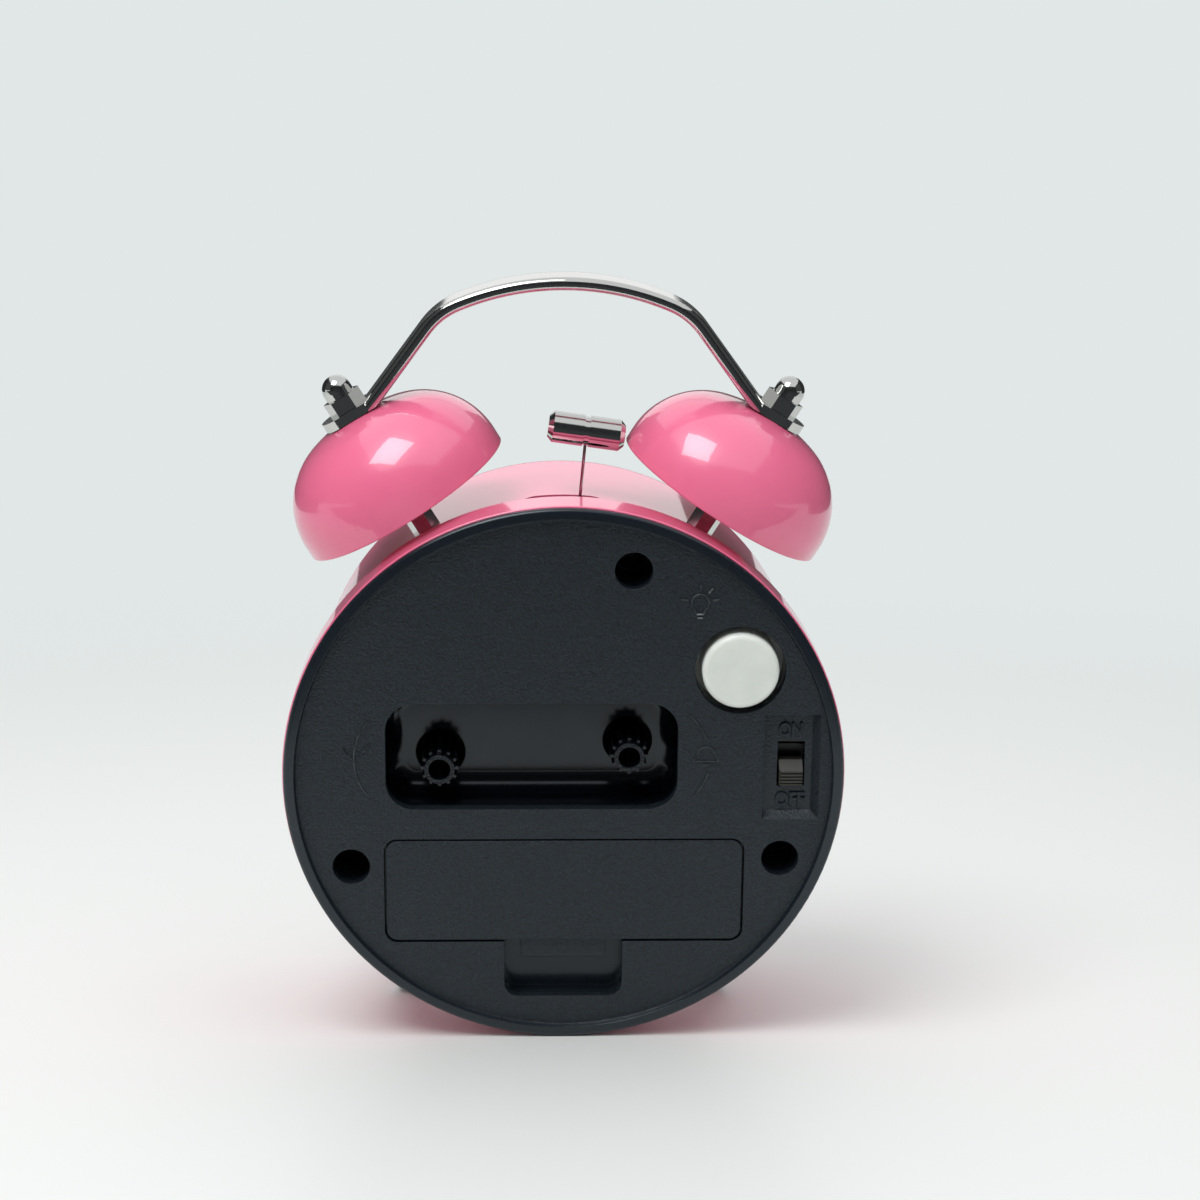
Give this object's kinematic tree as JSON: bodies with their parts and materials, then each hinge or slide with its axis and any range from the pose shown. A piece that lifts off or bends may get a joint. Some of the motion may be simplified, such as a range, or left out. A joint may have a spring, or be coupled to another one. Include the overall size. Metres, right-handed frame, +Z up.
{
  "type": "twin bell alarm clock",
  "caption": "Round desk alarm clock leaning back on its rear lip and ball feet, with bells, hammer and handle on top and setting knobs in the back.",
  "frame": {"origin": "on the table, under the middle of the clock's box", "axes": "+Z up, -Y towards the viewer of the dial, +X to the right as seen from the dial side"},
  "size_m": [0.0884, 0.0558, 0.1225],
  "materials": {
    "pink_enamel": "gloss enamel",
    "chrome": "polished",
    "black_plastic": "fine texture",
    "white_plastic": "smooth",
    "clear_lens": "clear",
    "dial_card": "printed card",
    "hand_black": "satin",
    "hand_pink": "satin",
    "steel": "plain",
    "brass": "plain",
    "gear_plastic": "moulded",
    "frame_plastic": "moulded",
    "copper_wire": "enamelled wire",
    "board_green": "circuit board",
    "lamp_amber": "diffuse"
  },
  "bodies": {
    "clock": {"acorn_nuts": "chrome", "alarm_contact": "brass", "back_cover": "black_plastic", "back_screws": "steel", "battery_plate": "steel", "battery_spring": "steel", "battery_tub": "black_plastic", "bell_left": "pink_enamel", "bell_right": "pink_enamel", "button_spring": "steel", "case_nuts": "steel", "case_shell": "pink_enamel", "circuit_board": "board_green", "coil": "copper_wire", "cover_low": "black_plastic", "dial": "dial_card", "dial_lamp": "lamp_amber", "dial_ring": "white_plastic", "foot_left": "chrome", "foot_right": "chrome", "front_bezel": "pink_enamel", "front_lens": "clear_lens", "hammer_pin": "steel", "hammer_spring": "steel", "handle": "chrome", "inner_frame": "frame_plastic", "inner_screws": "steel", "knob_tub": "black_plastic", "lamp_contact": "brass", "movement_case": "frame_plastic", "movement_plate": "frame_plastic", "post_left": "chrome", "post_right": "chrome", "quartz_crystal": "steel", "ringer_coil": "copper_wire", "ringer_core": "steel", "ringer_frame": "steel", "stator": "steel", "switch_case": "black_plastic", "switch_contact": "brass"},
    "second": {"second_wheel": "gear_plastic", "second_hand": "hand_black"},
    "fifth": {"fifth_wheel": "gear_plastic"},
    "motor_rotor": {"rotor": "gear_plastic"},
    "third": {"third_wheel": "gear_plastic"},
    "centre": {"centre_wheel": "gear_plastic", "minute_hand": "hand_black"},
    "motion": {"minute_wheel": "gear_plastic"},
    "hour": {"hour_wheel": "gear_plastic", "hour_hand": "hand_black"},
    "alarm": {"alarm_wheel": "gear_plastic", "alarm_hand": "hand_pink"},
    "time_setter": {"time_knob": "black_plastic"},
    "alarm_setter": {"alarm_knob": "black_plastic"},
    "hammer": {"hammer_lever": "steel", "hammer_wire": "chrome", "hammer_head": "chrome"},
    "button": {"light_button": "white_plastic"},
    "slider": {"alarm_slider": "black_plastic"},
    "battery_door": {"battery_cover": "black_plastic"}
  },
  "joints": [
    {"name": "second_spin", "type": "hinge", "parent": "clock", "child": "second", "pos_m": [0, -0.00367, 0.04716], "axis": [0, 0.9903, -0.1392], "continuous": true},
    {"name": "fifth_spin", "type": "hinge", "parent": "clock", "child": "fifth", "pos_m": [-0.00636, -0.00455, 0.04086], "axis": [0, 0.9903, -0.1392], "continuous": true},
    {"name": "rotor_spin", "type": "hinge", "parent": "clock", "child": "motor_rotor", "pos_m": [-0.01032, -0.0051, 0.03694], "axis": [0, 0.9903, -0.1392], "continuous": true},
    {"name": "third_spin", "type": "hinge", "parent": "clock", "child": "third", "pos_m": [0.00636, -0.00455, 0.04086], "axis": [0, 0.9903, -0.1392], "continuous": true},
    {"name": "minute_spin", "type": "hinge", "parent": "clock", "child": "centre", "pos_m": [0, -0.00367, 0.04716], "axis": [0, 0.9903, -0.1392], "continuous": true},
    {"name": "minute_wheel_spin", "type": "hinge", "parent": "clock", "child": "motion", "pos_m": [0.00823, -0.00613, 0.05118], "axis": [0, 0.9903, -0.1392], "continuous": true},
    {"name": "hour_spin", "type": "hinge", "parent": "clock", "child": "hour", "pos_m": [0, -0.00703, 0.04763], "axis": [0, 0.9903, -0.1392], "continuous": true},
    {"name": "time_knob_spin", "type": "hinge", "parent": "clock", "child": "time_setter", "pos_m": [0.0196, 0.00938, 0.04654], "axis": [0, 0.9903, -0.1392], "continuous": true},
    {"name": "alarm_hand_spin", "type": "hinge", "parent": "clock", "child": "alarm", "pos_m": [0, -0.00832, 0.04782], "axis": [0, 0.9903, -0.1392], "continuous": true},
    {"name": "alarm_knob_spin", "type": "hinge", "parent": "clock", "child": "alarm_setter", "pos_m": [-0.01025, 0.00965, 0.04847], "axis": [0, 0.9903, -0.1392], "continuous": true},
    {"name": "hammer_swing", "type": "hinge", "parent": "clock", "child": "hammer", "pos_m": [0, 0.00646, 0.0725], "axis": [0, 0.9903, -0.1392], "range_deg": [0, 16], "stiffness_Nm_per_rad": 0.006, "springref_deg": -11.46, "deforming": ["hammer_spring"]},
    {"name": "light_button_press", "type": "slide", "parent": "clock", "child": "button", "axis": [0, -0.9903, 0.1392], "range_m": [0, 0.0012], "stiffness_N_per_m": 300, "springref_m": -0.0008, "deforming": ["button_spring"]},
    {"name": "alarm_switch", "type": "slide", "parent": "clock", "child": "slider", "axis": [0, 0.1392, 0.9903], "range_m": [0, 0.00285]},
    {"name": "battery_door_hinge", "type": "hinge", "parent": "clock", "child": "battery_door", "pos_m": [-0.0001, 0.01969, 0.03368], "axis": [1, 0, 0], "range_deg": [0, 60]}
  ],
  "couplings": [
    {"joint": "fifth_spin", "follows": "second_spin", "ratio": -5},
    {"joint": "rotor_spin", "follows": "second_spin", "ratio": 30},
    {"joint": "third_spin", "follows": "second_spin", "ratio": -0.125},
    {"joint": "minute_spin", "follows": "second_spin", "ratio": 0.016667},
    {"joint": "minute_wheel_spin", "follows": "second_spin", "ratio": -0.0055556},
    {"joint": "hour_spin", "follows": "second_spin", "ratio": 0.0013889},
    {"joint": "time_knob_spin", "follows": "second_spin", "ratio": 0.0076923},
    {"joint": "alarm_knob_spin", "follows": "alarm_hand_spin", "ratio": -2}
  ]
}
